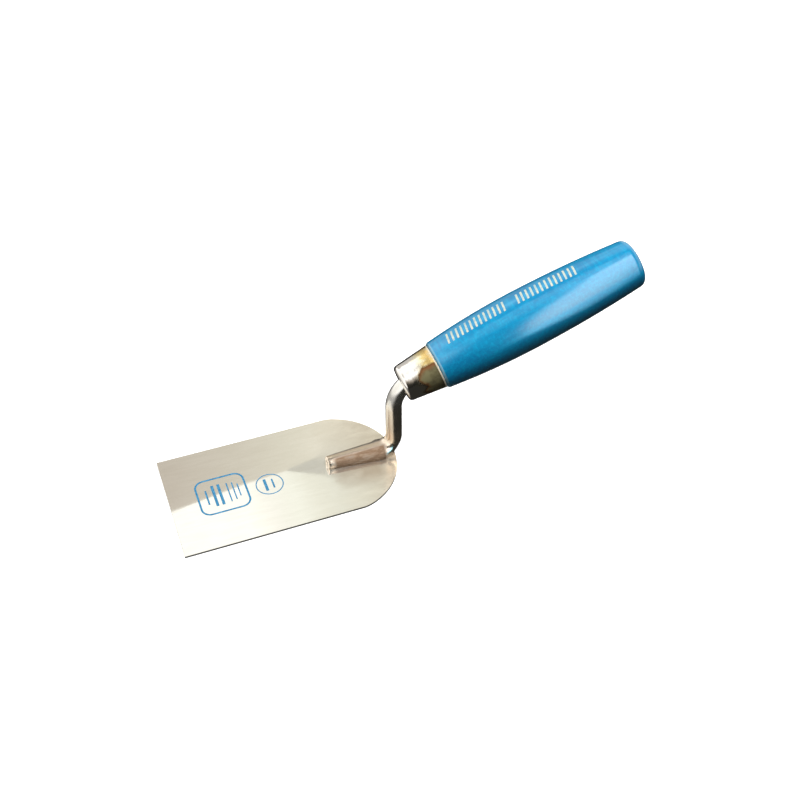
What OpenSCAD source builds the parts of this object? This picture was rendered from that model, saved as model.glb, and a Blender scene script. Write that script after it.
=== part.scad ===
// Margin trowel: a flat rectangular steel blade with a rounded heel, a bent
// steel tang resistance-welded to it, a drawn steel ferrule and a turned and
// lacquered wooden handle. Millimetres. X runs from the blade's straight front
// edge to the handle's butt, Y across the blade, Z up from the working face.
// The origin is the middle of the blade's flat underside.

/* [Blade] */
// Length from the straight front edge to the crown of the heel
blade_length = 106; // [80:0.5:150]
// Width across the two parallel long edges
blade_width = 60; // [30:0.5:80]
// Sheet thickness
blade_thickness = 1; // [0.8:0.1:2.5]
// Radius of the heel's main arc
heel_radius = 31; // [30:0.5:60]
// Radius that blends the heel's arc into each long edge
heel_corner_radius = 15; // [4:0.5:24]

/* [Tang] */
// Diameter of the round rod the tang is bent from
rod_diameter = 7.6; // [5:0.1:12]
// Distance of the upright neck in front of the heel's crown (negative: behind)
neck_inset = -0.5; // [-3:0.05:12]
// Length of the foot in front of the neck
foot_length = 33; // [22:0.5:60]
// Height of the foot at its front end, above the blade
foot_tip_height = 5; // [3:0.1:8]
// Radius of the foot's rounded section at its front end
foot_tip_radius = 3.1; // [2:0.1:5]
// Radius of the foot's half-round section where the neck rises
foot_root_radius = 5.6; // [4:0.1:8]
// Step from the foot's crown down to the rod's top at the root
root_step = 0.3; // [0.1:0.1:1.5]
// Centreline radius of the bend from foot to neck
lower_bend_radius = 8; // [6:0.1:16]
// Centreline radius of the bend from neck into the ferrule
upper_bend_radius = 15; // [4.5:0.1:24]
// Depth of the lathe-centre dimple in the foot's front end
foot_dimple_depth = 0.6; // [0.2:0.1:1.5]
// Diameter of the ground shank inside the ferrule
shank_diameter = 7.4; // [5:0.1:12]
// Length of the tapered spike inside the wood, behind the ferrule
spike_length = 52; // [25:1:80]
// Diameter of the spike's blunt point
spike_point_diameter = 3.4; // [1:0.1:6]

/* [Weld nuggets] */
// Diameter of each fused weld nugget
nugget_diameter = 3.6; // [2:0.1:5]
// Depth each nugget reaches into the blade and into the foot
nugget_depth = 0.4; // [0.1:0.05:0.6]
// Distance of the front nugget behind the foot's front end
nugget_inset = 5; // [3:0.5:10]
// Spacing between nuggets along the foot
nugget_pitch = 9; // [5:0.5:14]

/* [Ferrule] */
// Distance from the neck's axis, along the handle's axis, to the closed end
ferrule_gap = 3.9; // [3:0.1:10]
// Length along the handle's axis
ferrule_length = 17.8; // [10:0.1:30]
// Outside diameter at the closed front end, before its rounded edge
ferrule_front_diameter = 17; // [12:0.1:26]
// Outside diameter at the open rear rim
ferrule_rear_diameter = 21; // [14:0.1:30]
// Wall thickness
ferrule_wall = 1; // [0.5:0.1:2]
// Radius of the rounded edge around the closed end
ferrule_edge_radius = 2; // [1:0.1:4]
// Radial clearance of the ferrule's hole round the tang
hole_clearance = 0.15; // [0.05:0.05:0.5]

/* [Handle] */
// Tilt of the handle's axis above the blade
handle_tilt = 19; // [5:0.1:40]
// Height above the blade's underside where the neck's and handle's axes cross
knuckle_height = 38.4; // [25:0.1:60]
// Length from the ferrule's rim to the crown of the butt
handle_length = 102.4; // [80:0.5:140]
// Diameter of the shoulder behind the ferrule
shoulder_diameter = 22.7; // [18:0.1:34]
// Largest diameter of the grip
grip_diameter = 27.8; // [22:0.1:40]
// Position of the largest diameter along the handle, as a share of its length
grip_position = 0.44; // [0.3:0.01:0.7]
// Diameter at the rear, where the butt starts to round over
butt_diameter = 23; // [16:0.1:32]
// Radius of the butt's rounded edge
butt_edge_radius = 3.5; // [1:0.1:8]
// Radius of the shallow dome across the butt's end
butt_dome_radius = 40; // [20:1:120]

/* [Hidden] */
$fn = 96;
// overlap that makes cutting tools pass right through
cut = 0.5;
tip_x = -blade_length / 2;
heel_x = blade_length / 2;
half_width = blade_width / 2;
rod_radius = rod_diameter / 2;
// plan arcs of the heel
heel_centre_x = heel_x - heel_radius;
corner_centre_y = half_width - heel_corner_radius;
corner_reach = heel_radius - heel_corner_radius;
corner_centre_x = heel_centre_x
    + sqrt(corner_reach * corner_reach - corner_centre_y * corner_centre_y);
// tang path in the XZ plane
neck_x = heel_x - neck_inset;
foot_front_x = neck_x - foot_length;
bend_start_x = neck_x - lower_bend_radius;
rod_floor_z = blade_thickness + foot_root_radius - rod_radius - root_step;
lower_bend_z = rod_floor_z + lower_bend_radius;
turn = 90 - handle_tilt;
upper_tangent = upper_bend_radius * tan(turn / 2);
neck_top_z = knuckle_height - upper_tangent;
// distances along the handle's axis, measured from the neck's axis
ferrule_front = ferrule_gap;
ferrule_rim = ferrule_front + ferrule_length;
// foot cone
foot_cone_length = bend_start_x - foot_front_x;
foot_tip_centre = foot_tip_height - foot_tip_radius;
foot_cone_tilt = atan(foot_tip_centre / foot_cone_length);
foot_cone_axis = sqrt(foot_cone_length * foot_cone_length
    + foot_tip_centre * foot_tip_centre);
nugget_front_x = foot_front_x + nugget_inset;
// ferrule profile
front_radius = ferrule_front_diameter / 2;
rear_radius = ferrule_rear_diameter / 2;
rear_bore = rear_radius - ferrule_wall;
front_bore = front_radius - ferrule_wall;
edge_bore = ferrule_edge_radius - ferrule_wall;
ferrule_slope = (rear_radius - front_radius) / ferrule_length;
// handle profile
crown_radius = grip_diameter / 2;
shoulder_round = 1.6;
butt_core = butt_diameter / 2 - butt_edge_radius;
butt_arc = butt_dome_radius - butt_edge_radius;
butt_start = handle_length - butt_dome_radius
    + sqrt(butt_arc * butt_arc - butt_core * butt_core);
butt_turn = acos(butt_core / butt_arc);
profile_steps = 12;
butt_steps = 6;
dome_steps = 3;
edge_steps = 4;
foot_steps = 16;

// Grip radius at t from 0 (shoulder) to 1 (start of the butt): two parabolas
// that meet with a level crown at grip_position.
function grip_radius(t) =
    t < grip_position
    ? crown_radius - (crown_radius - shoulder_diameter / 2)
        * pow(1 - t / grip_position, 2)
    : crown_radius - (crown_radius - butt_diameter / 2)
        * pow((t - grip_position) / (1 - grip_position), 2);

// Moves a shape built along +X into the handle's axis
module on_handle_axis(distance) {
    translate([neck_x, 0, knuckle_height])
        rotate([0, -handle_tilt, 0])
            translate([distance, 0, 0])
                rotate([0, 90, 0])
                    children();
}

module blade_outline() {
    square_end = corner_centre_x - tip_x;
    wedge = 8;
    translate([tip_x, -half_width])
        square([square_end, blade_width]);
    for (side = [-1, 1])
        translate([corner_centre_x, side * corner_centre_y])
            circle(r = heel_corner_radius);
    intersection() {
        translate([heel_centre_x, 0])
            circle(r = heel_radius);
        polygon([
            [heel_centre_x, 0],
            [heel_centre_x + wedge * (corner_centre_x - heel_centre_x),
             -wedge * corner_centre_y],
            [heel_centre_x + wedge * (corner_centre_x - heel_centre_x),
             wedge * corner_centre_y]
        ]);
    }
}

module nugget(index) {
    translate([nugget_front_x + index * nugget_pitch, 0, blade_thickness - nugget_depth])
        cylinder(d = nugget_diameter, h = 2 * nugget_depth);
}

module nuggets() {
    for (index = [0:2])
        nugget(index);
}

module blade() {
    color("Silver")
    difference() {
        linear_extrude(blade_thickness)
            blade_outline();
        nuggets();
    }
}

module weld_nugget_front() {
    color("DimGray")
        nugget(0);
}

module weld_nugget_middle() {
    color("DimGray")
        nugget(1);
}

module weld_nugget_rear() {
    color("DimGray")
        nugget(2);
}

// Rounded foot: one revolved shape, a cone that ends in a ball, lying on the blade
module foot() {
    ball = [for (i = [0:foot_steps])
        let (a = 90 * i / foot_steps)
            [foot_root_radius * cos(a), foot_cone_axis + foot_root_radius * sin(a)]];
    difference() {
        translate([foot_front_x, 0, blade_thickness + foot_tip_centre])
            rotate([0, 90 + foot_cone_tilt, 0])
                rotate_extrude()
                    polygon(concat([[0, 0], [foot_tip_radius, 0]], ball));
        below_blade_top();
    }
}

// Everything under the blade's upper face, along the tang
module below_blade_top() {
    translate([foot_front_x - 10, -20, blade_thickness - 20])
        cube([foot_length + 30, 40, 20]);
}

module lower_bend() {
    difference() {
        translate([bend_start_x, 0, lower_bend_z])
            rotate([90, 0, 0])
                rotate([0, 0, -90])
                    rotate_extrude(angle = 90)
                        translate([lower_bend_radius, 0])
                            circle(r = rod_radius);
        below_blade_top();
    }
}

module neck() {
    translate([neck_x, 0, lower_bend_z])
        cylinder(r = rod_radius, h = neck_top_z - lower_bend_z);
}

module upper_bend(radius) {
    translate([neck_x + upper_bend_radius, 0, neck_top_z])
        rotate([90, 0, 0])
            mirror([1, 0, 0])
                rotate_extrude(angle = turn)
                    translate([upper_bend_radius, 0])
                        circle(r = radius);
}

// Ground shank through the ferrule and the tapered spike, as one revolve that
// starts a little way inside the end of the bend
module shank() {
    shank_start = upper_tangent - 0.4;
    shank_length = ferrule_rim - shank_start;
    on_handle_axis(shank_start)
        rotate_extrude()
            polygon([
                [0, 0],
                [shank_diameter / 2, 0],
                [shank_diameter / 2, shank_length],
                [spike_point_diameter / 2, shank_length + spike_length],
                [0, shank_length + spike_length]
            ]);
}

module tang() {
    color("LightSlateGray")
    difference() {
        union() {
            foot();
            lower_bend();
            neck();
            upper_bend(rod_radius);
            shank();
        }
        translate([foot_front_x - foot_dimple_depth, 0, blade_thickness + foot_tip_centre])
            rotate([0, 90, 0])
                cylinder(r1 = 2 * foot_dimple_depth, r2 = 0, h = 2 * foot_dimple_depth);
        nuggets();
    }
}

// Half-profile of a cup: radius against distance along the axis
function cup_edge(radius, edge, start) =
    [for (i = [0:edge_steps])
        let (a = 90 * i / edge_steps)
            [radius - edge + edge * sin(a), start + edge - edge * cos(a)]];

module ferrule() {
    color("Gainsboro")
    difference() {
        on_handle_axis(ferrule_front)
            rotate_extrude()
                polygon(concat(
                    [[0, 0]],
                    cup_edge(front_radius + ferrule_slope * ferrule_edge_radius,
                             ferrule_edge_radius, 0),
                    [[rear_radius, ferrule_length], [rear_bore, ferrule_length]],
                    tenon_front(),
                    [[0, ferrule_wall]]
                ));
        upper_bend(rod_radius + hole_clearance);
    }
}

// Inside corner of the cup, listed from its wall to its end
function tenon_front() =
    let (edge = cup_edge(front_bore + ferrule_slope * ferrule_edge_radius,
                         edge_bore, ferrule_wall))
        [for (i = [edge_steps:-1:0]) edge[i]];

module handle() {
    grip = [for (i = [0:profile_steps])
        let (t = i / profile_steps)
            [grip_radius(t), shoulder_round + t * (butt_start - shoulder_round)]];
    shoulder = [for (i = [0:edge_steps])
        let (a = 90 * i / edge_steps)
            [shoulder_diameter / 2 - shoulder_round + shoulder_round * sin(a),
             shoulder_round - shoulder_round * cos(a)]];
    butt = [for (i = [1:butt_steps])
        let (a = butt_turn * i / butt_steps)
            [butt_core + butt_edge_radius * cos(a),
             butt_start + butt_edge_radius * sin(a)]];
    dome = [for (i = [1:dome_steps])
        let (a = butt_turn + (90 - butt_turn) * i / dome_steps)
            [butt_dome_radius * cos(a),
             handle_length - butt_dome_radius + butt_dome_radius * sin(a)]];
    color("SteelBlue")
    difference() {
        union() {
            on_handle_axis(ferrule_rim)
                rotate_extrude()
                    polygon(concat([[0, 0]], shoulder, grip, butt, dome));
            on_handle_axis(ferrule_front)
                rotate_extrude()
                    polygon(concat(
                        [[0, ferrule_length + cut], [rear_bore, ferrule_length + cut],
                         [rear_bore, ferrule_length]],
                        tenon_front(),
                        [[0, ferrule_wall]]
                    ));
        }
        upper_bend(rod_radius);
        shank();
    }
}

blade();
weld_nugget_front();
weld_nugget_middle();
weld_nugget_rear();
tang();
ferrule();
handle();
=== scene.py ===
"""Margin trowel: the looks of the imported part, built in its own frame, in metres.

X runs from the blade's straight front edge to the handle's butt, Y across the
blade, Z up from the working face. The blade, tang, ferrule and handle are finer
meshes in place of their CAD nodes, built from the same driving sizes that the
CAD uses. The weld nuggets are the CAD's own, and two thin prints are added.
"""

import math

import bmesh
import bpy
from mathutils import Matrix, Vector


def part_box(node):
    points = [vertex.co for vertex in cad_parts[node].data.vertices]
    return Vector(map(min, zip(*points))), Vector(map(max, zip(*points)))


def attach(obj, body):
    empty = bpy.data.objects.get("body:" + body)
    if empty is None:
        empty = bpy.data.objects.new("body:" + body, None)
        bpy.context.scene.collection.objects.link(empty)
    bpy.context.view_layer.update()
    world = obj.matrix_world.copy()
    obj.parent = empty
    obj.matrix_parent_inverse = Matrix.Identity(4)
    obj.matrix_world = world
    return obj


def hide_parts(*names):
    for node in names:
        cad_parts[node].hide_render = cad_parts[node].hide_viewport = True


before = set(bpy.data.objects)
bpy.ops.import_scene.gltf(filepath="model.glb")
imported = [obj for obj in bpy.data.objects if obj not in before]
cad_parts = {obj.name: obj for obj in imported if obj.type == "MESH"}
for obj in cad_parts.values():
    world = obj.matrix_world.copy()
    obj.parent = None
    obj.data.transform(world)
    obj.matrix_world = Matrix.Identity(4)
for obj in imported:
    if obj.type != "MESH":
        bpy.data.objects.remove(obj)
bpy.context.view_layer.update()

MM = 0.001

# ---------------------------------------------------------------- sizes, in mm

blade_low, blade_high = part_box("blade")
TIP_X = blade_low.x / MM
HEEL_X = blade_high.x / MM
HALF_WIDTH = blade_high.y / MM
THICKNESS = blade_high.z / MM
HEEL_RADIUS = 31.0
HEEL_CORNER_RADIUS = 15.0
EDGE_BEVEL = 0.12

ROD_RADIUS = 3.8
NECK_X = HEEL_X + 0.5
FOOT_LENGTH = 33.0
FOOT_FRONT_X = NECK_X - FOOT_LENGTH
FOOT_TIP_HEIGHT = 5.0
FOOT_TIP_RADIUS = 3.1
FOOT_TIP_CENTRE = FOOT_TIP_HEIGHT - FOOT_TIP_RADIUS  # above the blade's face
FOOT_ROOT_RADIUS = 5.6
ROOT_STEP = 0.3  # from the top of the foot's root down to the top of the rod
ROOT_FLARE = 0.2  # the bend's root is this much wider than the foot
ROOT_OUTER_RADIUS = 4.8
DIMPLE_RISE = 0.7  # of the dimple's centre above the centre of the foot's tip
DIMPLE_DEPTH = 0.9
LOWER_BEND_RADIUS = 8.0
UPPER_BEND_RADIUS = 15.0
SHANK_RADIUS = 3.7
SHANK_STEP = 0.2  # length over which the rod is ground down to the shank
SPIKE_LENGTH = 52.0
SPIKE_POINT_RADIUS = 1.7

TILT = math.radians(19.0)
KNUCKLE_Z = 38.4
UPPER_TURN = math.pi / 2 - TILT
UPPER_TANGENT = UPPER_BEND_RADIUS * math.tan(UPPER_TURN / 2)
NECK_TOP_Z = KNUCKLE_Z - UPPER_TANGENT

FERRULE_GAP = 3.9
FERRULE_LENGTH = 17.8
FERRULE_FRONT_RADIUS = 8.5
FERRULE_REAR_RADIUS = 10.5
FERRULE_WALL = 1.0
FERRULE_EDGE_RADIUS = 2.0
HOLE_CLEARANCE = 0.15
FIT_GAP = 0.02  # keeps the wood off the ferrule
RIM_AT = FERRULE_GAP + FERRULE_LENGTH

HANDLE_LENGTH = 102.35  # a hair inside the coarser CAD butt
SHOULDER_RADIUS = 11.35
SHOULDER_ROUND = 1.6
GRIP_RADIUS = 13.9
GRIP_POSITION = 0.44
BUTT_RADIUS = 11.5
BUTT_EDGE_RADIUS = 3.5
BUTT_DOME_RADIUS = 40.0

INK_THICKNESS = 0.02
INK_GAP = 0.003  # keeps the ink's underside off the blade
GRIP_INK_GAP = 0.004

AXIS = Vector((math.cos(TILT), 0, math.sin(TILT)))

# In a turned piece's own axes +Z runs along the handle, +X points up and +Y to
# the near side, which is -Y on the trowel.
HANDLE_FRAME = Matrix.Translation(Vector((NECK_X, 0, KNUCKLE_Z)) * MM) @ Matrix(
    (
        (-math.sin(TILT), 0, math.cos(TILT), 0),
        (0, -1, 0, 0),
        (math.cos(TILT), 0, math.sin(TILT), 0),
        (0, 0, 0, 1),
    )
)

# -------------------------------------------------------------- mesh utilities


def smoothstep(low, high, value):
    t = min(max((value - low) / (high - low), 0.0), 1.0)
    return t * t * (3 - 2 * t)


def mesh_object(name, bm, smooth_angle=35, axes=None):
    """Turns a bmesh in millimetres into an object with smooth faces and sharp creases."""
    bmesh.ops.scale(bm, vec=(MM, MM, MM), verts=bm.verts)
    if axes:
        bm.transform(axes)
    bmesh.ops.remove_doubles(bm, verts=bm.verts, dist=0.0005 * MM)
    bmesh.ops.recalc_face_normals(bm, faces=bm.faces)
    for face in bm.faces:
        face.smooth = True
    limit = math.radians(smooth_angle)
    for edge in bm.edges:
        edge.smooth = len(edge.link_faces) != 2 or edge.calc_face_angle(0) < limit
    mesh = bpy.data.meshes.new(name)
    bm.to_mesh(mesh)
    bm.free()
    piece = bpy.data.objects.new(name, mesh)
    bpy.context.scene.collection.objects.link(piece)
    return piece


def lathe(name, profile, smooth_angle):
    """Revolves (radius, distance) points round the handle's axis into a closed solid."""
    turns = 160
    bm = bmesh.new()
    rings = []
    for radius, along in profile:
        if radius < 1e-6:
            rings.append([bm.verts.new((0, 0, along))])
            continue
        ring = []
        for i in range(turns):
            angle = 2 * math.pi * i / turns
            point = (radius * math.cos(angle), radius * math.sin(angle), along)
            ring.append(bm.verts.new(point))
        rings.append(ring)
    bridge_all(bm, rings)
    if len(rings[0]) > 1:
        bridge(bm, rings[-1], rings[0])
    return mesh_object(name, bm, smooth_angle, HANDLE_FRAME)


def bridge(bm, here, there):
    """Faces between two closed rings, either of which may be a single point."""
    count = max(len(here), len(there))
    if count == 1:
        return
    for i in range(count):
        j = (i + 1) % count
        if len(here) == 1:
            bm.faces.new((here[0], there[j], there[i]))
        elif len(there) == 1:
            bm.faces.new((here[i], here[j], there[0]))
        else:
            bm.faces.new((here[i], here[j], there[j], there[i]))


def bridge_all(bm, rings):
    """Joins each ring to the next."""
    for here, there in zip(rings, rings[1:]):
        bridge(bm, here, there)


def finish_piece(piece, node_names, material):
    """Puts a piece on the trowel's one body and gives it its material."""
    if node_names:
        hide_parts(*node_names)
    piece.data.materials.clear()
    piece.data.materials.append(material)
    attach(piece, "root")
    return piece


# ------------------------------------------------------------ shader utilities


class Nodes:
    """A short way to write a node tree: a new material's, or the one it is given."""

    def __init__(self, name="", tree=None):
        self.tree = tree
        if tree is None:
            self.material = bpy.data.materials.new(name)
            self.material.use_nodes = True
            self.tree = self.material.node_tree
            self.shader = self.tree.nodes["Principled BSDF"]

    def add(self, kind, settings=None, **inputs):
        node = self.tree.nodes.new(kind)
        for key, value in (settings or {}).items():
            setattr(node, key, value)
        for key, value in inputs.items():
            self.set(node, key.replace("_", " "), value)
        return node

    def set(self, node, key, value):
        """Links a socket to another node's output, or gives it a value."""
        socket = node.inputs[int(key)] if key.isdigit() else node.inputs[key]
        if isinstance(value, bpy.types.NodeSocket):
            self.tree.links.new(value, socket)
        else:
            socket.default_value = value

    def principled(self, **inputs):
        for key, value in inputs.items():
            self.set(self.shader, key.replace("_", " "), value)

    def place(self, axes=None):
        """Position on the trowel, or along the handle's own axes."""
        position = self.add("ShaderNodeTexCoord").outputs["Object"]
        if axes is None:
            return position
        turned = self.add("ShaderNodeMapping", {"vector_type": "TEXTURE"}, Vector=position)
        turned.inputs["Location"].default_value = axes.to_translation()
        turned.inputs["Rotation"].default_value = axes.to_euler()
        return turned.outputs["Vector"]

    def stretched(self, vector, scale, turn=(0, 0, 0)):
        """Scales each axis of a vector, then turns the result by angles in degrees."""
        node = self.add("ShaderNodeMapping", Vector=vector)
        node.inputs["Rotation"].default_value = [math.radians(angle) for angle in turn]
        node.inputs["Scale"].default_value = scale
        return node.outputs["Vector"]

    def noise(self, vector, scale, detail=4.0, roughness=0.55):
        node = self.add(
            "ShaderNodeTexNoise", Vector=vector, Scale=scale, Detail=detail, Roughness=roughness
        )
        return node.outputs["Fac"]

    def ramp(self, factor, stops):
        node = self.add("ShaderNodeValToRGB", Fac=factor)
        elements = node.color_ramp.elements
        while len(elements) < len(stops):
            elements.new(0.5)
        for element, (position, colour) in zip(elements, stops):
            element.position = position
            element.color = (*colour[:3], 1)
        return node.outputs["Color"]

    def range(self, value, from_low, from_high, to_low=0.0, to_high=1.0):
        """Maps one range onto another. From high to low, it falls instead of rising."""
        node = self.add("ShaderNodeMapRange", {"clamp": True}, Value=value)
        node.inputs["From Min"].default_value = from_low
        node.inputs["From Max"].default_value = from_high
        node.inputs["To Min"].default_value = to_low
        node.inputs["To Max"].default_value = to_high
        return node.outputs["Result"]

    def math(self, operation, a, b=0.0):
        node = self.add("ShaderNodeMath", {"operation": operation})
        self.set(node, "0", a)
        self.set(node, "1", b)
        return node.outputs[0]

    def mix(self, factor, a, b, blend="MIX"):
        node = self.add("ShaderNodeMix", {"data_type": "RGBA", "blend_type": blend})
        self.set(node, "0", factor)
        self.set(node, "6", a)
        self.set(node, "7", b)
        return node.outputs[2]

    def axes(self, vector):
        return self.add("ShaderNodeSeparateXYZ", Vector=vector).outputs

    def bump(self, height, distance, strength=1.0, normal=None):
        node = self.add("ShaderNodeBump", Height=height, Distance=distance, Strength=strength)
        if normal is not None:
            self.set(node, "Normal", normal)
        return node.outputs["Normal"]


def rgb(red, green, blue):
    """A colour given as it looks on a screen, 0 to 255, as a linear one."""

    def linear(v):
        v /= 255
        return v / 12.92 if v <= 0.04045 else ((v + 0.055) / 1.055) ** 2.4

    return (linear(red), linear(green), linear(blue), 1.0)


# ------------------------------------------------------------------- materials


def weld_bloom(n, axis, cloud):
    """1 where the welding heat browned the blade, on the near side of the foot."""
    middle = -9.5 * MM
    wander = n.range(cloud, 0.3, 0.7, -6 * MM, 6 * MM)
    aside = n.math("ABSOLUTE", n.math("SUBTRACT", axis["Y"], middle))
    bloom = n.range(aside, 9 * MM, 2 * MM)
    bloom = n.math("MULTIPLY", bloom, n.range(n.math("ADD", axis["X"], wander), 22 * MM, 34 * MM))
    return n.math("MULTIPLY", bloom, n.range(axis["X"], 47 * MM, 42 * MM))


def blade_steel():
    """Cold-rolled stainless sheet, polished along its length, faintly wavy."""
    n = Nodes("blade_steel")
    place = n.place()
    axis = n.axes(place)
    grain = n.noise(n.stretched(place, (60, 900, 900)), 4.0, 6.0, 0.6)
    cloud = n.noise(place, 55.0, 4.0)
    smear = n.noise(n.stretched(place, (45, 110, 110)), 1.0, 5.0, 0.6)
    colour = n.mix(cloud, rgb(236, 233, 224), rgb(246, 244, 238))
    streak = n.noise(n.stretched(place, (60, 420, 420), turn=(0, 0, 38)), 1.0, 5.0, 0.6)
    colour = n.mix(n.range(streak, 0.4, 0.7, 0.0, 0.25), colour, rgb(222, 218, 206))
    # towards the heel the sheet is stained a mottled beige
    smeared_x = n.math("ADD", axis["X"], n.math("MULTIPLY", smear, 20 * MM))
    near_heel = n.range(smeared_x, 28 * MM, 55 * MM)
    mottle = n.range(smear, 0.35, 0.65)
    colour = n.mix(near_heel, colour, n.mix(mottle, rgb(204, 194, 178), rgb(236, 229, 216)))
    bloom = n.math("MULTIPLY", weld_bloom(n, axis, cloud), 0.75)
    colour = n.mix(bloom, colour, rgb(188, 172, 154))
    wave = n.noise(n.stretched(place, (14, 22, 22)), 1.0, 2.0, 0.4)
    normal = n.bump(wave, 0.4 * MM, 0.01)
    normal = n.bump(grain, 0.01 * MM, 0.008, normal)
    rough = n.range(n.math("ADD", grain, smear), 0.6, 1.4, 0.012, 0.035)
    rough = n.math("ADD", rough, n.range(axis["X"], 16 * MM, 40 * MM, 0.0, 0.18))
    n.principled(Base_Color=colour, Metallic=0.85, Roughness=rough, Normal=normal)
    return n.material


def foot_flanks(n, axis):
    """1 on the foot's flanks and 0.3 on its top. It fades out at the front end and the bend."""
    outward = n.math("ABSOLUTE", axis["Y"])
    rise = n.math("MULTIPLY", axis["Z"], 0.3)
    flanks = n.range(n.math("SUBTRACT", outward, rise), -1.2 * MM, 0.1 * MM, 0.3, 1.0)
    behind_end = n.range(axis["X"], (FOOT_FRONT_X + 0.6) * MM, (FOOT_FRONT_X + 4) * MM)
    before_bend = n.range(axis["X"], (NECK_X - 4.4) * MM, (NECK_X - 6.2) * MM)
    low_down = n.range(axis["Z"], 10.5 * MM, 8.0 * MM)
    for limit in (behind_end, before_bend, low_down):
        flanks = n.math("MULTIPLY", flanks, limit)
    return flanks


def dimple_darkening(n, place):
    """1 in the dimple of the foot's front end, 0 outside it."""
    dimple = Vector((FOOT_FRONT_X, 0, THICKNESS + FOOT_TIP_CENTRE + DIMPLE_RISE))
    offset = n.add("ShaderNodeVectorMath", {"operation": "DISTANCE"})
    n.set(offset, "0", place)
    n.set(offset, "1", dimple * MM)
    return n.range(offset.outputs["Value"], 1.0 * MM, 0.6 * MM)


def tang_steel():
    """Polished rod. The foot's flanks keep the brown tint of the welding heat."""
    n = Nodes("tang_steel")
    place = n.place()
    axis = n.axes(place)
    patches = n.noise(n.stretched(place, (70, 260, 260)), 2.0, 5.0, 0.65)
    streaks = n.noise(n.stretched(place, (60, 900, 900)), 2.0, 5.0, 0.6)
    tinted = n.math("MULTIPLY", foot_flanks(n, axis), n.range(patches, 0.3, 0.5, 0.75, 1.0))
    blend = n.math("ADD", n.math("MULTIPLY", patches, 0.7), n.math("MULTIPLY", streaks, 0.3))
    tint = n.ramp(
        blend,
        [
            (0.34, rgb(106, 82, 62)),
            (0.46, rgb(144, 119, 96)),
            (0.54, rgb(126, 101, 79)),
            (0.66, rgb(162, 140, 117)),
        ],
    )
    steel = n.mix(n.noise(place, 90.0, 3.0), rgb(220, 211, 198), rgb(234, 227, 216))
    # painted highlights: the upper bend, and the lower bend with the foot, are painted paler than
    # the neck between them
    steel = n.mix(n.range(axis["Z"], 27.0 * MM, 33.0 * MM), steel, rgb(246, 245, 242))
    steel = n.mix(n.range(axis["Z"], 17.0 * MM, 12.0 * MM), steel, rgb(255, 240, 222))
    # painted shade: the far flank is painted darker, a dark line along the foot's far edge
    tint = n.mix(n.range(axis["Y"], 0.9 * MM, 1.9 * MM), tint, rgb(84, 79, 70))
    colour = n.mix(tinted, steel, tint)
    # darker in the dimple of the foot's front end
    colour = n.mix(dimple_darkening(n, place), colour, rgb(48, 42, 36))
    draw_lines = n.noise(n.stretched(place, (500, 500, 60)), 2.0, 6.0, 0.6)
    rough = n.range(draw_lines, 0.3, 0.7, 0.19, 0.27)
    rough = n.math("ADD", rough, n.math("MULTIPLY", tinted, 0.35))
    metal = n.range(tinted, 0.3, 1.0, 1.0, 0.2)
    dents = n.noise(place, 120.0, 3.0, 0.5)
    normal = n.bump(draw_lines, 0.02 * MM, 0.3)
    normal = n.bump(dents, 0.3 * MM, 0.1, normal)
    n.principled(Base_Color=colour, Metallic=metal, Roughness=rough, Normal=normal)
    return n.material


def weld_steel():
    """Fused weld metal."""
    n = Nodes("weld_steel")
    place = n.place()
    grain = n.noise(place, 900.0, 5.0)
    colour = n.mix(grain, rgb(84, 78, 72), rgb(140, 132, 124))
    rough = n.range(grain, 0.3, 0.7, 0.4, 0.6)
    normal = n.bump(grain, 0.1 * MM)
    n.principled(Base_Color=colour, Metallic=1.0, Roughness=rough, Normal=normal)
    return n.material


def ferrule_painted_reflection(n, axis, wander):
    """Masks for the painted reflection of the dim brown near side on the ferrule: the whole patch,
    and the core inside it.
    """
    across = n.math("ADD", axis["Y"], n.math("MULTIPLY", wander, 0.3))
    behind = n.math("ADD", axis["Z"], n.math("MULTIPLY", wander, 0.7))
    reflected_patch = n.range(across, 4.2 * MM, 6.2 * MM)
    reflected_patch = n.math("MULTIPLY", reflected_patch, n.range(behind, 11.8 * MM, 14.8 * MM))
    core = n.range(across, 6.0 * MM, 7.6 * MM)
    core = n.math("MULTIPLY", core, n.range(behind, 13.0 * MM, 15.5 * MM))
    return reflected_patch, core


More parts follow.
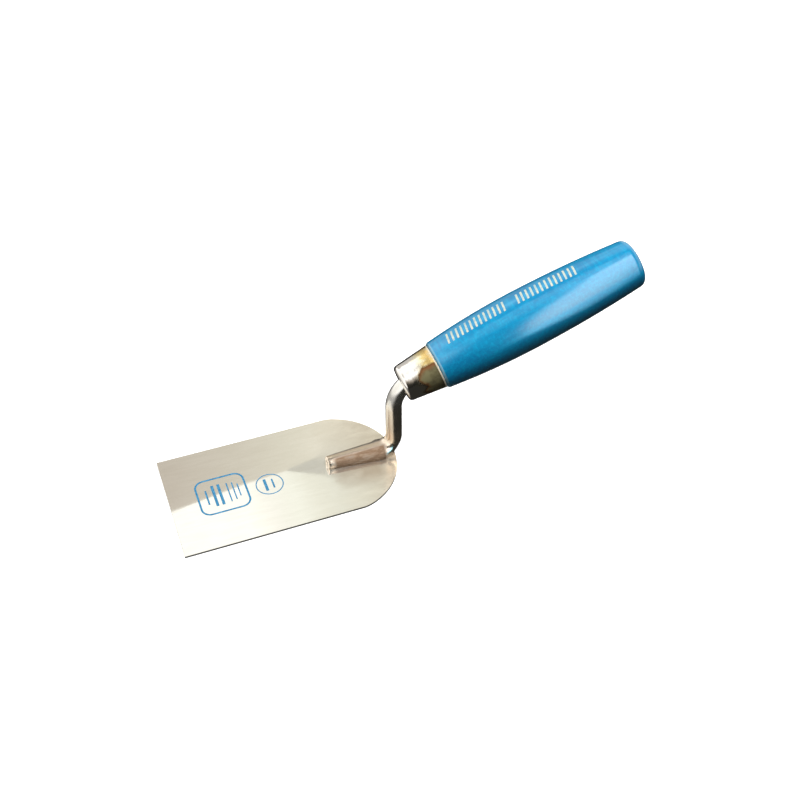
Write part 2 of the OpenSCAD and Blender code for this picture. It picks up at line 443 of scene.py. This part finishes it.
def ferrule_steel():
    """Drawn steel cup, bright at the closed end, straw to brown where the rim was heated."""
    n = Nodes("ferrule_steel")
    place = n.place(HANDLE_FRAME)
    axis = n.axes(place)
    patches = n.noise(n.stretched(place, (150, 150, 110)), 1.0, 5.0, 0.6)
    wander = n.range(patches, 0.3, 0.7, -4 * MM, 4 * MM)
    heat_from = (FERRULE_GAP + 6) * MM
    heat = n.range(n.math("ADD", axis["Z"], wander), heat_from, (RIM_AT - 1) * MM)
    colour = n.ramp(
        heat,
        [
            (0.0, rgb(244, 241, 238)),
            (0.35, rgb(246, 238, 208)),
            (0.6, rgb(240, 214, 146)),
            (0.8, rgb(232, 196, 124)),
            (0.95, rgb(222, 204, 164)),
        ],
    )
    # painted reflection: the near side is painted with the dim brown that it mirrors, a brown fringe
    # round olive grey
    reflected_patch, core = ferrule_painted_reflection(n, axis, wander)
    blotch = n.range(patches, 0.38, 0.62)
    reflected_brown = n.mix(core, rgb(120, 80, 46), n.mix(blotch, rgb(66, 58, 34), rgb(112, 106, 74)))
    colour = n.mix(n.range(reflected_patch, 0.0, 0.5), colour, reflected_brown)
    metal = n.range(reflected_patch, 0.4, 1.0, 1.0, 0.1)
    # the curled rim is rubbed bright
    rubbed = n.range(axis["Z"], (RIM_AT - 0.8) * MM, (RIM_AT - 0.6) * MM)
    colour = n.mix(rubbed, colour, n.mix(patches, rgb(214, 200, 170), rgb(244, 238, 224)))
    metal = n.math("MAXIMUM", metal, rubbed)
    metal = n.math("MULTIPLY", metal, n.range(rubbed, 0.0, 1.0, 1.0, 0.5))
    # fine turning lines, and shallow dents
    spin = n.noise(n.stretched(place, (80, 80, 1600)), 1.5, 5.0, 0.6)
    dents = n.noise(place, 150.0, 3.0, 0.5)
    normal = n.bump(spin, 0.01 * MM, 0.3)
    normal = n.bump(dents, 0.4 * MM, 0.25, normal)
    rough = n.math("ADD", n.range(spin, 0.3, 0.7, 0.06, 0.12), n.math("MULTIPLY", heat, 0.2))
    rough = n.math("ADD", rough, n.math("MULTIPLY", reflected_patch, 0.28))
    n.principled(Base_Color=colour, Metallic=metal, Roughness=rough, Normal=normal)
    return n.material


def lacquered_wood():
    """Turned hardwood under translucent blue lacquer, its fibres showing faintly."""
    n = Nodes("lacquered_wood")
    place = n.place(HANDLE_FRAME)
    fibre = n.noise(n.stretched(place, (900, 900, 60)), 1.4, 6.0, 0.65)
    pores = n.noise(n.stretched(place, (2200, 2200, 200)), 1.2, 3.0, 0.6)
    figure = n.noise(n.stretched(place, (110, 110, 22)), 1.2, 4.0, 0.6)
    flecks = n.noise(n.stretched(place, (800, 140, 800), turn=(50, 0, 45)), 1.0, 5.0, 0.65)
    colour = n.mix(fibre, rgb(0, 116, 164), rgb(0, 156, 198))
    colour = n.mix(n.range(figure, 0.4, 0.65, 0.0, 0.6), colour, rgb(0, 104, 154))
    colour = n.mix(n.range(flecks, 0.45, 0.7, 0.0, 0.5), colour, rgb(0, 178, 214))
    colour = n.mix(n.range(pores, 0.6, 0.8, 0.0, 0.4), colour, rgb(0, 78, 120))
    # painted highlight: a pale line round the shoulder's rounded edge
    sheen_at = (RIM_AT + 0.8) * MM
    off_edge = n.math("ABSOLUTE", n.math("SUBTRACT", n.axes(place)["Z"], sheen_at))
    wear_and_sheen = n.range(off_edge, 0.55 * MM, 0.25 * MM)
    wear_and_sheen = n.math("MULTIPLY", wear_and_sheen, n.range(figure, 0.3, 0.6, 0.3, 0.8))
    colour = n.mix(wear_and_sheen, colour, rgb(150, 196, 214))
    rough = n.range(fibre, 0.3, 0.7, 0.34, 0.46)
    peel = n.noise(place, 700.0, 2.0)
    normal = n.bump(fibre, 0.03 * MM, 0.5)
    normal = n.bump(flecks, 0.06 * MM, 0.5, normal)
    normal = n.bump(peel, 0.03 * MM, 0.3, normal)
    n.principled(Base_Color=colour, Metallic=0.0, Roughness=rough, Normal=normal)
    n.principled(Specular_IOR_Level=0.8, Specular_Tint=(0.15, 0.8, 1.0, 1))
    n.principled(Coat_Weight=1.0, Coat_Roughness=0.17, Coat_IOR=1.9)
    n.principled(Coat_Tint=(0.72, 0.90, 0.96, 1))
    return n.material


def ink(name, colour, wear_and_sheen):
    """Thin printed ink, a little uneven and rubbed."""
    n = Nodes(name)
    place = n.place()
    rub = n.noise(place, 900.0, 5.0, 0.6)
    n.principled(
        Base_Color=n.mix(n.range(rub, 0.4, 0.75), colour, wear_and_sheen),
        Roughness=n.range(rub, 0.3, 0.7, 0.35, 0.55),
        Normal=n.bump(rub, 0.02 * MM, 0.4),
    )
    return n.material


# ----------------------------------------------------------------------- blade


def heel_outline(steps=40):
    """Plan of the blade, anticlockwise from its front corner on the near side (-Y)."""
    centre_x = HEEL_X - HEEL_RADIUS
    corner_y = HALF_WIDTH - HEEL_CORNER_RADIUS
    reach = HEEL_RADIUS - HEEL_CORNER_RADIUS
    corner_x = centre_x + math.sqrt(reach**2 - corner_y**2)
    turn = math.atan2(corner_y, corner_x - centre_x)
    side = []
    for i in range(steps + 1):
        angle = turn * i / steps
        side.append((centre_x + HEEL_RADIUS * math.cos(angle), HEEL_RADIUS * math.sin(angle)))
    for i in range(1, steps + 1):
        angle = turn + (math.pi / 2 - turn) * i / steps
        side.append(
            (
                corner_x + HEEL_CORNER_RADIUS * math.cos(angle),
                corner_y + HEEL_CORNER_RADIUS * math.sin(angle),
            )
        )
    side.append((TIP_X, HALF_WIDTH))
    return [(x, -y) for x, y in reversed(side)] + side[1:]


def make_blade(material):
    bm = bmesh.new()
    plan = heel_outline()
    floor = [bm.verts.new((x, y, 0)) for x, y in plan]
    roof = [bm.verts.new((x, y, THICKNESS)) for x, y in plan]
    bm.faces.new(list(reversed(floor)))
    bm.faces.new(roof)
    bridge(bm, floor, roof)
    rims = [e for e in bm.edges if abs(e.verts[0].co.z - e.verts[1].co.z) < 1e-6]
    bmesh.ops.bevel(
        bm, geom=rims, offset=EDGE_BEVEL, segments=2, profile=0.5, affect="EDGES", clamp_overlap=True
    )
    piece = mesh_object("blade_sheet", bm, 12)
    return finish_piece(piece, ["blade"], material)


# ------------------------------------------------------------------------ tang


def upper_bend_station(angle, radius):
    """A round section on the upper bend, which starts at angle 0 and ends at UPPER_TURN."""
    centre = Vector((NECK_X + UPPER_BEND_RADIUS, 0, NECK_TOP_Z))
    centre += UPPER_BEND_RADIUS * Vector((-math.cos(angle), 0, math.sin(angle)))
    return centre, math.pi / 2 - angle, radius, radius, radius


def tang_stations():
    """(centre, direction angle, half width, inner radius, outer radius) along the tang."""
    stations = []
    # foot: it widens and rises from its front end to its half-round root
    bend_x = NECK_X - LOWER_BEND_RADIUS
    steps = 14
    for i in range(steps):
        t = i / steps
        radius = FOOT_TIP_RADIUS + (FOOT_ROOT_RADIUS - FOOT_TIP_RADIUS) * t
        x = FOOT_FRONT_X + (bend_x - FOOT_FRONT_X) * t
        centre = Vector((x, 0, THICKNESS + FOOT_TIP_CENTRE * (1 - t)))
        stations.append((centre, 0.0, radius, radius, radius))
    # lower bend: the half-round root narrows into the round neck
    floor_z = THICKNESS + FOOT_ROOT_RADIUS - ROD_RADIUS - ROOT_STEP
    bend_centre = Vector((bend_x, 0, floor_z + LOWER_BEND_RADIUS))
    root_wide = FOOT_ROOT_RADIUS + ROOT_FLARE
    root_inner = FOOT_ROOT_RADIUS - (floor_z - THICKNESS)
    round_by = 0.72  # of the bend
    steps = 22
    for i in range(steps + 1):
        angle = math.pi / 2 * i / steps
        round_over = smoothstep(0.0, round_by, i / steps)
        centre = bend_centre + LOWER_BEND_RADIUS * Vector((math.sin(angle), 0, -math.cos(angle)))
        wide = root_wide + (ROD_RADIUS - root_wide) * round_over
        inner = root_inner + (ROD_RADIUS - root_inner) * round_over
        outer = ROOT_OUTER_RADIUS + (ROD_RADIUS - ROOT_OUTER_RADIUS) * round_over
        stations.append((centre, angle, wide, inner, outer))
    # neck, and the upper bend into the handle's axis
    steps = 6
    for i in range(1, steps):
        z = bend_centre.z + (NECK_TOP_Z - bend_centre.z) * i / steps
        stations.append((Vector((NECK_X, 0, z)), math.pi / 2, ROD_RADIUS, ROD_RADIUS, ROD_RADIUS))
    steps = 24
    for i in range(steps + 1):
        stations.append(upper_bend_station(UPPER_TURN * i / steps, ROD_RADIUS))
    # shank and tapered spike, hidden in the handle
    corner = Vector((NECK_X, 0, KNUCKLE_Z))
    for along, radius in (
        (UPPER_TANGENT + SHANK_STEP, SHANK_RADIUS),
        (RIM_AT, SHANK_RADIUS),
        (RIM_AT + SPIKE_LENGTH, SPIKE_POINT_RADIUS),
    ):
        stations.append((corner + AXIS * along, TILT, radius, radius, radius))
    return stations


def tang_ring(bm, station, around=56, shrink=0.0, ahead=0.0):
    """One closed section, shrunk and moved ahead by some millimetres.

    What would lie inside the blade is laid flat on its face.
    """
    centre, angle, wide, inner, outer = station
    forward = Vector((math.cos(angle), 0, math.sin(angle)))
    normal = Vector((-math.sin(angle), 0, math.cos(angle)))
    ring = []
    for i in range(around):
        a = 2 * math.pi * i / around
        tall = inner if math.cos(a) > 0 else outer
        point = (
            centre
            + forward * ahead
            + normal * (tall - shrink) * math.cos(a)
            + Vector((0, 1, 0)) * (wide - shrink) * math.sin(a)
        )
        point.z = max(point.z, THICKNESS)
        ring.append(bm.verts.new(point))
    return ring


def foot_end_rings(bm, first):
    """The foot's front end face: a dimple, a flat, and a small rounded edge."""
    dimple_steps = ((2.3, 0.1), (2.15, 0.0))
    edge_steps = ((0.45, 0.0), (0.2, 0.06), (0.06, 0.2), (0.0, 0.45))
    centre = first[0]
    rings = [[bm.verts.new((centre.x + DIMPLE_DEPTH, 0, centre.z + DIMPLE_RISE))]]
    for shrink, ahead in dimple_steps:
        ring = tang_ring(bm, first, shrink=shrink, ahead=ahead)
        for vertex in ring:
            vertex.co.z += DIMPLE_RISE
        rings.append(ring)
    for shrink, ahead in edge_steps:
        rings.append(tang_ring(bm, first, shrink=shrink, ahead=ahead))
    return rings


def make_tang(material):
    bm = bmesh.new()
    stations = tang_stations()
    rings = foot_end_rings(bm, stations[0])
    rings += [tang_ring(bm, station) for station in stations[1:]]
    rings.append([bm.verts.new(stations[-1][0])])
    bridge_all(bm, rings)
    piece = mesh_object("tang_forged", bm, 40)
    return finish_piece(piece, ["tang"], material)


# --------------------------------------------------------------------- ferrule


def arc(centre_radius, centre_along, radius, start, end, steps):
    """Profile points on an arc; angles in degrees, 0 outwards and 90 along the axis."""
    points = []
    for i in range(steps + 1):
        a = math.radians(start + (end - start) * i / steps)
        points.append((centre_radius + radius * math.cos(a), centre_along + radius * math.sin(a)))
    return points


def make_ferrule(material):
    slope = (FERRULE_REAR_RADIUS - FERRULE_FRONT_RADIUS) / FERRULE_LENGTH
    edge = FERRULE_EDGE_RADIUS
    edge_end = FERRULE_GAP + edge
    side = FERRULE_FRONT_RADIUS + slope * edge
    # closed end, its rounded edge and the widening side
    profile = [(0, FERRULE_GAP), (3, FERRULE_GAP)]
    profile += arc(side - edge, edge_end, edge, -90, 0, 12)
    lip = 1.1
    steps = 12
    for i in range(1, steps + 1):
        along = edge_end + (RIM_AT - lip - edge_end) * i / steps
        profile.append((FERRULE_FRONT_RADIUS + slope * (along - FERRULE_GAP), along))
    # the rim curls out a little
    curl = 0.3
    swell = 0.1
    profile.append((FERRULE_REAR_RADIUS + 0.6 * swell, RIM_AT - lip / 2))
    profile += arc(FERRULE_REAR_RADIUS + swell - curl, RIM_AT - curl, curl, 0, 90, 5)
    # inside
    profile += [(FERRULE_REAR_RADIUS - FERRULE_WALL, RIM_AT), (side - FERRULE_WALL, edge_end)]
    profile += arc(side - edge, edge_end, edge - FERRULE_WALL, 0, -90, 6)
    profile.append((0, FERRULE_GAP + FERRULE_WALL))
    piece = lathe("ferrule_cup", profile, 30)
    cut_tang_hole(piece)
    return finish_piece(piece, ["ferrule"], material)


def cut_tang_hole(piece):
    """Cuts the hole that the bent tang passes through, a little wider than the rod."""
    bm = bmesh.new()
    rings = []
    # the part of the upper bend that crosses the closed end, with some to spare
    first, span = 0.35, 0.62
    steps = 24
    for i in range(steps + 1):
        angle = UPPER_TURN * (first + span * i / steps)
        station = upper_bend_station(angle, ROD_RADIUS + HOLE_CLEARANCE)
        rings.append(tang_ring(bm, station, around=64))
    bridge_all(bm, rings)
    bm.faces.new(rings[0])
    bm.faces.new(rings[-1])
    cutter = mesh_object("hole_cutter", bm)
    hole = piece.modifiers.new("tang_hole", "BOOLEAN")
    hole.operation = "DIFFERENCE"
    hole.solver = "EXACT"
    hole.object = cutter
    bpy.context.view_layer.update()
    graph = bpy.context.evaluated_depsgraph_get()
    cut = bpy.data.meshes.new_from_object(piece.evaluated_get(graph))
    piece.modifiers.clear()
    piece.data = cut
    bpy.data.objects.remove(cutter)


# ---------------------------------------------------------------------- handle


def grip_radius(t):
    """Radius of the grip at t from 0 (shoulder) to 1 (start of the butt)."""
    if t < GRIP_POSITION:
        return GRIP_RADIUS - (GRIP_RADIUS - SHOULDER_RADIUS) * (1 - t / GRIP_POSITION) ** 2
    back = (t - GRIP_POSITION) / (1 - GRIP_POSITION)
    return GRIP_RADIUS - (GRIP_RADIUS - BUTT_RADIUS) * back**2


def butt_start():
    """Distance behind the rim at which the butt's edge starts to round over."""
    core = BUTT_RADIUS - BUTT_EDGE_RADIUS
    reach = BUTT_DOME_RADIUS - BUTT_EDGE_RADIUS
    return HANDLE_LENGTH - BUTT_DOME_RADIUS + math.sqrt(reach**2 - core**2)


def make_handle(material):
    core = BUTT_RADIUS - BUTT_EDGE_RADIUS
    turn = math.degrees(math.acos(core / (BUTT_DOME_RADIUS - BUTT_EDGE_RADIUS)))
    start = butt_start()
    # the spike's bore, which opens out at the tenon's nose to clear the bend
    mouth = 6.2
    nose = FERRULE_GAP + FERRULE_WALL + FIT_GAP
    spike_end = RIM_AT + SPIKE_LENGTH
    profile = [(0, spike_end), (SPIKE_POINT_RADIUS, spike_end), (SHANK_RADIUS, RIM_AT)]
    profile += [(SHANK_RADIUS, nose + 7), (mouth, nose + 6), (mouth, nose)]
    # the tenon's outside, and the shoulder
    tenon = FERRULE_REAR_RADIUS - FERRULE_WALL - FIT_GAP
    profile += [(mouth + 1, nose), (tenon, RIM_AT - 0.1), (tenon, RIM_AT + FIT_GAP)]
    round_end = RIM_AT + SHOULDER_ROUND
    shoulder = arc(SHOULDER_RADIUS - SHOULDER_ROUND, round_end, SHOULDER_ROUND, -90, 0, 10)
    profile += [(radius, along + FIT_GAP) for radius, along in shoulder]
    steps = 96
    for i in range(1, steps + 1):
        t = i / steps
        profile.append((grip_radius(t), round_end + t * (start - SHOULDER_ROUND)))
    # rounded edge and dome of the butt
    profile += arc(core, RIM_AT + start, BUTT_EDGE_RADIUS, 0, turn, 10)[1:]
    dome_centre = RIM_AT + HANDLE_LENGTH - BUTT_DOME_RADIUS
    profile += arc(0, dome_centre, BUTT_DOME_RADIUS, turn, 90, 10)[1:-1]
    profile.append((0, RIM_AT + HANDLE_LENGTH))
    piece = lathe("handle_turned", profile, 40)
    return finish_piece(piece, ["handle"], material)


# ---------------------------------------------------------------- weld nuggets


def dress_nuggets(material):
    """The weld nuggets keep their CAD meshes and take the weld's material."""
    for name in ("weld_nugget_front", "weld_nugget_middle", "weld_nugget_rear"):
        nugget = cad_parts[name]
        nugget.data.materials.clear()
        nugget.data.materials.append(material)


# ---------------------------------------------------------------------- prints


def rounded_rectangle(width, height, radius, steps=8):
    points = []
    for quadrant, (sx, sy) in enumerate(((1, 1), (-1, 1), (-1, -1), (1, -1))):
        for i in range(steps + 1):
            a = math.pi / 2 * (quadrant + i / steps)
            points.append(
                (
                    sx * (width / 2 - radius) + radius * math.cos(a),
                    sy * (height / 2 - radius) + radius * math.sin(a),
                )
            )
    return points


def circle(radius, steps=64):
    angles = [2 * math.pi * i / steps for i in range(steps)]
    return [(radius * math.cos(a), radius * math.sin(a)) for a in angles]


def shifted(points, x, y):
    return [(x + px, y + py) for px, py in points]


def raise_print(bm, outer, inner=None):
    """A thin flat film of ink: a filled outline, or the band between two outlines."""
    low = THICKNESS + INK_GAP
    films = []
    for points in (outer, inner) if inner else (outer,):
        floor = [bm.verts.new((x, y, low)) for x, y in points]
        roof = [bm.verts.new((x, y, low + INK_THICKNESS)) for x, y in points]
        bridge(bm, floor, roof)
        films.append((floor, roof))
    if inner:
        for outside, inside in zip(*films):
            bridge(bm, outside, inside)
    else:
        for outline in films[0]:
            bm.faces.new(outline)


def print_bars(bm, x, y, bars):
    """Bars across the blade, each given as its offset from x, its length and its weight."""
    for offset, length, weight in bars:
        raise_print(bm, shifted(rounded_rectangle(weight, length, 0.24), x + offset, y))


def make_blade_prints(material):
    """Two plain generic marks: a framed block of bars, and a ring with two bars."""
    bm = bmesh.new()
    x, y = TIP_X + 24.0, 0.0
    outer = shifted(rounded_rectangle(23.0, 22.0, 4.6), x, y)
    inner = shifted(rounded_rectangle(21.2, 20.2, 3.7), x, y)
    raise_print(bm, outer, inner)
    thick_bars = ((-7.0, 9.0, 0.8), (-3.6, 13.0, 1.3), (-0.8, 13.0, 1.3))
    thin_bars = ((3.0, 12.0, 0.6), (5.4, 11.0, 0.6), (7.6, 8.0, 0.6))
    print_bars(bm, x, y, thick_bars + thin_bars)
    x, y = TIP_X + 45.5, -1.7
    raise_print(bm, shifted(circle(6.4), x, y), shifted(circle(5.9), x, y))
    print_bars(bm, x, y, ((-1.8, 7.4, 1.3), (1.6, 5.8, 0.8)))
    piece = mesh_object("blade_print", bm, 30)
    return finish_piece(piece, [], material)


def slanted_bar(bm, base):
    """A thin bar of ink across the grip's top, at a distance behind the ferrule's rim."""
    height = 6.0
    width = 0.9
    lean = -0.9
    rows = 12
    start = butt_start()

    def sheet(lift):
        points = []
        for j in range(rows + 1):
            v = j / rows - 0.5
            for side in (-0.5, 0.5):
                along = base + side * width + lean * v
                t = (along - SHOULDER_ROUND) / (start - SHOULDER_ROUND)
                radius = grip_radius(t) + GRIP_INK_GAP + lift
                a = v * height / radius
                point = (radius * math.cos(a), radius * math.sin(a), RIM_AT + along)
                points.append(bm.verts.new(point))
        return points

    low = sheet(0.0)
    high = sheet(INK_THICKNESS)
    for j in range(rows):
        a, b, c, d = 2 * j, 2 * j + 1, 2 * j + 3, 2 * j + 2
        bm.faces.new((high[a], high[b], high[c], high[d]))
        bm.faces.new((low[d], low[c], low[b], low[a]))
        bm.faces.new((low[a], high[a], high[d], low[d]))
        bm.faces.new((low[c], high[c], high[b], low[b]))
    last = 2 * rows
    bm.faces.new((low[0], low[1], high[1], high[0]))
    bm.faces.new((low[last + 1], low[last], high[last], high[last + 1]))


def make_handle_print(material):
    """Two plain groups of slanted pale bars along the top of the grip."""
    bm = bmesh.new()
    first_bar = 9.5
    pitch = 2.35
    places = 28
    left_out = (13, 14)
    for index in range(places):
        if index not in left_out:
            slanted_bar(bm, first_bar + index * pitch)
    piece = mesh_object("handle_print", bm, 60, HANDLE_FRAME)
    return finish_piece(piece, [], material)


# ----------------------------------------------------------------------- stage


def emission(name, build):
    """An emitting stage material; build(nodes) returns (colour, strength)."""
    n = Nodes(name)
    colour, strength = build(n)
    glow = n.add("ShaderNodeEmission")
    n.set(glow, "Color", colour)
    n.set(glow, "Strength", strength)
    output = n.tree.nodes["Material Output"]
    n.tree.links.new(glow.outputs[0], output.inputs["Surface"])
    n.tree.nodes.remove(n.shader)
    return n.material


def sheet_object(name, corners, material):
    """One flat face through its corners."""
    mesh = bpy.data.meshes.new(name)
    mesh.from_pydata(corners, [], [list(range(len(corners)))])
    mesh.materials.append(material)
    sheet = bpy.data.objects.new(name, mesh)
    bpy.context.scene.collection.objects.link(sheet)
    return sheet


def card(name, corners, material):
    """A flat glowing card that only shows in reflections."""
    board = sheet_object(name, corners, material)
    board.visible_camera = False
    board.visible_shadow = False
    board.visible_diffuse = False


def make_floor():
    """A pale floor just under the blade. It catches the shadow and shows in no reflection."""
    n = Nodes("studio_floor")
    n.principled(Base_Color=(0.5, 0.5, 0.5, 1), Roughness=0.9)
    n.principled(Emission_Color=(1, 1, 1, 1), Emission_Strength=0.9)
    size = 6.0
    corners = [(-size, -size, 0), (size, -size, 0), (size, size, 0), (-size, size, 0)]
    floor = sheet_object("studio_floor", corners, n.material)
    floor.location.z = -0.2 * MM
    floor.visible_glossy = False
    floor.visible_diffuse = False


def toward(azimuth, elevation):
    """Unit vector. Azimuth in degrees from the near side (-Y), turning towards +X."""
    a, e = math.radians(azimuth), math.radians(elevation)
    return Vector((math.sin(a) * math.cos(e), -math.cos(a) * math.cos(e), math.sin(e)))


LIT_POINT = Vector((0.06, 0, 0.03))  # near the tool's middle; lights and cards surround it


def make_key_light():
    """A soft key light from above."""
    data = bpy.data.lights.new("key_light", "AREA")
    data.shape = "RECTANGLE"
    data.size = 0.9
    data.size_y = 0.7
    data.energy = 29
    key = bpy.data.objects.new("key_light", data)
    bpy.context.scene.collection.objects.link(key)
    back = toward(10, 80)
    key.location = LIT_POINT + back * 1.3
    key.rotation_mode = "QUATERNION"
    key.rotation_quaternion = back.to_track_quat("Z", "Y")
    key.visible_glossy = False
    key.visible_camera = False


def far_glow(n):
    """White over the left of the stage, dimmer and yellower to the right."""
    x = n.axes(n.place())["X"]
    fade = n.ramp(
        n.range(x, 0.15, 0.35),
        [
            (0.0, (1.17, 1.17, 1.12)),
            (0.25, (0.99, 0.99, 0.93)),
            (0.5, (0.92, 0.94, 0.85)),
            (0.7, (0.81, 0.815, 0.71)),
            (0.9, (0.745, 0.75, 0.65)),
        ],
    )
    return fade, 1.0


def make_far_cards():
    """A softbox over the far side, for the blade to mirror, and a grey panel along its edge."""
    height = 1.2
    # the softbox ends and the panel begins at the seam
    seam = [(0.253, 1.146), (0.296, 1.122), (0.330, 1.1035), (0.356, 1.094), (0.9, 1.09)]
    softbox = [(-1.3, 1.0), (0.018, 1.119), (0.172, 1.1405), *seam, (0.9, 0.75), (-1.3, 0.75)]
    rim = [(0.262, 1.150), (0.322, 1.160), (0.348, 1.161), (0.416, 1.150), (0.9, 1.12)]
    panel = [seam[0], *rim, *reversed(seam[1:])]
    card(
        "far_softbox",
        [(x, y, height) for x, y in softbox],
        emission("far_softbox", far_glow),
    )
    card(
        "grey_panel",
        [(x, y, height) for x, y in panel],
        emission("grey_panel", lambda n: ((0.475, 0.47, 0.41, 1), 1.0)),
    )


def near_glow(n):
    """White, daylight blue at its foot, and dimmer to the right."""
    axis = n.axes(n.place())
    low = n.range(axis["Z"], 0.32, 0.05)
    colour = n.mix(low, (1, 0.99, 0.97, 1), (0.58, 1.18, 1.5, 1))
    return colour, n.range(axis["X"], 0.4, 0.75, 3.1, 0.85)


def make_near_softbox():
    """A tall softbox on the near side, for the ferrule and the handle's lacquer to mirror."""
    corners = [(12.5, -6), (3, 27), (1, 48), (22, 76), (70, 76), (50, 52), (34, 27), (34, -26)]
    card(
        "near_softbox",
        [LIT_POINT + toward(azimuth, elevation) * 1.5 for azimuth, elevation in corners],
        emission("near_softbox", near_glow),
    )


def far_wall(n, axis):
    """Beige, paler further right. A low dark screen draws the foot's far edge."""
    across = n.math("DIVIDE", axis["X"], n.math("MAXIMUM", axis["Y"], 0.05))
    wall = n.ramp(
        n.range(across, 0.0, 0.4),
        [
            (0.0, (0.60, 0.58, 0.54)),
            (0.09, (0.40, 0.34, 0.275)),
            (0.40, (0.535, 0.495, 0.405)),
            (0.58, (0.655, 0.625, 0.515)),
            (0.78, (0.85, 0.81, 0.69)),
        ],
    )
    aside = n.math("ABSOLUTE", n.math("SUBTRACT", across, 0.29))
    screen = n.math("MULTIPLY", n.range(axis["Z"], 0.46, 0.36), n.range(aside, 0.12, 0.08))
    return n.mix(screen, wall, (0.05, 0.05, 0.04, 1))


def near_side(n, direction):
    """How far a direction faces the near side, from 0 to 1."""
    facing = n.add("ShaderNodeVectorMath", {"operation": "DOT_PRODUCT"})
    n.set(facing, "0", direction)
    facing.inputs[1].default_value = toward(10, 15)
    outside, inside = math.cos(math.radians(56)), math.cos(math.radians(44))
    return n.range(facing.outputs["Value"], outside, inside)


def left_screen(n, leftward):
    """A white screen, brightest where it begins."""
    return n.ramp(
        n.range(leftward, 0.2, 1.0),
        [
            (0.0, (0.0, 0.0, 0.0)),
            (0.13, (0.42, 0.37, 0.30)),
            (0.23, (1.35, 1.34, 1.30)),
            (0.38, (1.25, 1.24, 1.19)),
            (0.62, (1.2, 1.17, 1.10)),
            (1.0, (1.0, 0.97, 0.90)),
        ],
    )


def make_world():
    """A studio for reflections: pale walls, a dark floor and near side. Cameras see white."""
    world = bpy.data.worlds.new("studio")
    world.use_nodes = True
    bpy.context.scene.world = world
    tree = world.node_tree
    tree.nodes.clear()
    n = Nodes(tree=tree)
    direction = n.add("ShaderNodeTexCoord").outputs["Generated"]
    axis = n.axes(direction)
    colour = (0.08, 0.078, 0.075, 1)
    colour = n.mix(n.range(axis["Y"], 0.25, 0.5), colour, far_wall(n, axis))
    # the near side is dim and brown
    dim = n.mix(n.range(axis["Z"], 0.0, 0.7), (0.012, 0.011, 0.009, 1), (0.05, 0.046, 0.034, 1))
    colour = n.mix(near_side(n, direction), colour, dim)
    leftward = n.math("SUBTRACT", n.math("MULTIPLY", axis["Y"], 0.1), axis["X"])
    leftward = n.math("SUBTRACT", leftward, n.range(axis["Z"], 0.8, 0.93, 0.0, 0.15))
    colour = n.mix(1.0, colour, left_screen(n, leftward), "LIGHTEN")
    # a second screen on the right, and a pale patch of ceiling
    colour = n.mix(n.range(axis["X"], 0.6, 0.85), colour, (0.9, 0.88, 0.84, 1))
    colour = n.mix(n.range(axis["Z"], 0.975, 0.992), colour, (0.45, 0.43, 0.40, 1))
    # the table, dark except at the left
    ground = n.range(axis["Z"], 0.02, -0.08)
    table = n.mix(n.range(leftward, 0.3, 0.7), (0.026, 0.025, 0.021, 1), (0.4, 0.385, 0.36, 1))
    colour = n.mix(ground, colour, table)
    # matte surfaces see a dim sky, and the camera sees white
    path = n.add("ShaderNodeLightPath").outputs
    dim_sky = n.mix(ground, (0.03, 0.03, 0.03, 1), (0, 0, 0, 1))
    colour = n.mix(path["Is Diffuse Ray"], colour, dim_sky)
    colour = n.mix(path["Is Camera Ray"], colour, (1, 1, 1, 1))
    background = n.add("ShaderNodeBackground", Color=colour, Strength=1.0)
    output = n.add("ShaderNodeOutputWorld")
    tree.links.new(background.outputs[0], output.inputs["Surface"])


def make_camera():
    """A 50 mm lens half a metre away, above the near side, a little towards the front edge."""
    data = bpy.data.cameras.new("camera")
    data.lens = 49.63
    data.sensor_width = 36
    data.clip_start = 0.01
    camera = bpy.data.objects.new("camera", data)
    bpy.context.scene.collection.objects.link(camera)
    aim = Vector((0.0566, 0, 0.0305))
    distance = 0.5
    back = toward(-20.84, 42.35)
    camera.location = aim + back * distance
    camera.rotation_mode = "QUATERNION"
    camera.rotation_quaternion = (-back).to_track_quat("-Z", "Y")
    bpy.context.scene.camera = camera


# ------------------------------------------------------------------------ main

make_blade(blade_steel())
make_tang(tang_steel())
make_ferrule(ferrule_steel())
make_handle(lacquered_wood())
dress_nuggets(weld_steel())
make_blade_prints(ink("blade_ink", rgb(36, 106, 146), rgb(84, 150, 184)))
make_handle_print(ink("handle_ink", rgb(200, 200, 176), rgb(110, 160, 180)))

make_floor()
make_key_light()
make_far_cards()
make_near_softbox()
make_world()
make_camera()
bpy.context.scene.view_settings.view_transform = "Standard"
